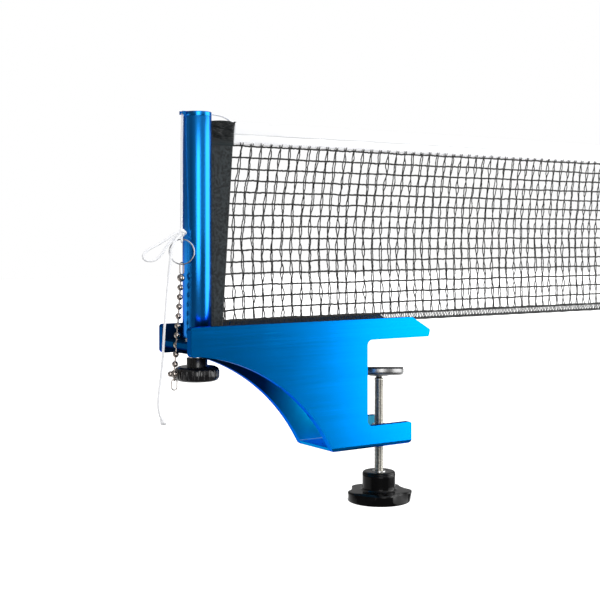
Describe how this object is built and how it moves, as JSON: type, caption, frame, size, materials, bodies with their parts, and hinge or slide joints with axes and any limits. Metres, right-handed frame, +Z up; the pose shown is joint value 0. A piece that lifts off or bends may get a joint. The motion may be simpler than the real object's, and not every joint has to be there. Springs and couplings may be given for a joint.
{
  "type": "table tennis net clamp",
  "caption": "Screw clamp for a table edge that carries a height-adjustable post and a stretch of table tennis net, with tension cord, split ring and bead chain.",
  "frame": {"origin": "where the clamp screw's axis meets the plane of the table top, in the clamp's mid-plane", "axes": "+X along the net, from the post towards the middle of the table; +Y away from the front plate; +Z up, square to the table top"},
  "size_m": [0.4613, 0.0483, 0.2815],
  "materials": {
    "anodised": "blue anodised extrusion, fine lengthwise brushing",
    "plated_steel": "zinc plated",
    "gloss_knob": "moulded, glossy black",
    "satin_knob": "moulded, satin black, ribbed grip",
    "pad_rubber": "smooth black",
    "band_cloth": "black woven tape",
    "tape_cloth": "white woven tape",
    "net_cord": "black knitted netting",
    "rod_plastic": "plain rod",
    "white_cord": "white braided cord",
    "nickel": "nickel plated"
  },
  "bodies": {
    "clamp": {"clamp_body": "anodised", "screw_insert": "plated_steel", "post_guide": "plated_steel"},
    "swivel": {"swivel_ball": "plated_steel"},
    "screw": {"clamp_screw": "plated_steel", "star_knob": "gloss_knob", "knob_insert": "plated_steel"},
    "plate": {"pressure_plate": "plated_steel", "plate_pad": "pad_rubber"},
    "height_set": {"height_screw": "plated_steel", "height_knob": "satin_knob", "thrust_washer": "plated_steel", "retaining_clip": "plated_steel"},
    "post": {"post_tube": "anodised", "post_cap": "anodised", "lift_nut": "plated_steel", "side_band": "band_cloth", "band_rod": "rod_plastic", "top_tape": "tape_cloth", "net_mesh": "net_cord", "bottom_hem": "band_cloth", "end_band": "band_cloth", "end_rod": "rod_plastic", "top_cord": "white_cord", "cord_knot": "white_cord", "cord_loop": "white_cord", "cord_tail": "white_cord", "tail_knot": "white_cord"},
    "ring": {"split_ring": "nickel"},
    "chain": {"chain_link": "nickel", "bead_chain": "nickel", "chain_coupling": "nickel"},
    "end_loop": {"chain_end": "nickel"}
  },
  "joints": [
    {"name": "clamp_travel", "type": "slide", "parent": "clamp", "child": "swivel", "axis": [0, 0, 1], "range_m": [-0.024, 0.018]},
    {"name": "screw_turn", "type": "hinge", "parent": "swivel", "child": "screw", "pos_m": [0, 0, -0.0281], "axis": [0, 0, 1], "range_deg": [-8645, 6485]},
    {"name": "plate_tilt", "type": "hinge", "parent": "swivel", "child": "plate", "pos_m": [0, 0, -0.0281], "axis": [0.829, -0.5592, 0], "range_deg": [-3.6, 16.4]},
    {"name": "height_turn", "type": "hinge", "parent": "clamp", "child": "height_set", "pos_m": [-0.1545, 0, -0.018], "axis": [0, 0, 1], "range_deg": [-3605, 905]},
    {"name": "post_lift", "type": "slide", "parent": "clamp", "child": "post", "axis": [0, 0, 1], "range_m": [-0.002, 0.008]},
    {"name": "ring_swing", "type": "hinge", "parent": "post", "child": "ring", "pos_m": [-0.1682, -0.004, 0.0725], "axis": [0, 1, 0], "range_deg": [0, 20]},
    {"name": "chain_swing", "type": "hinge", "parent": "ring", "child": "chain", "pos_m": [-0.1682, -0.004, 0.0559], "axis": [0, 1, 0], "range_deg": [0, 35]},
    {"name": "end_loop_swing", "type": "hinge", "parent": "chain", "child": "end_loop", "pos_m": [-0.1725, -0.0016, -0.0203], "axis": [0.9703, -0.2419, 0], "range_deg": [-35, 35]}
  ],
  "couplings": [
    {"joint": "screw_turn", "follows": "clamp_travel", "rad_per_m": 6283.2},
    {"joint": "height_turn", "follows": "post_lift", "rad_per_m": -7854}
  ]
}
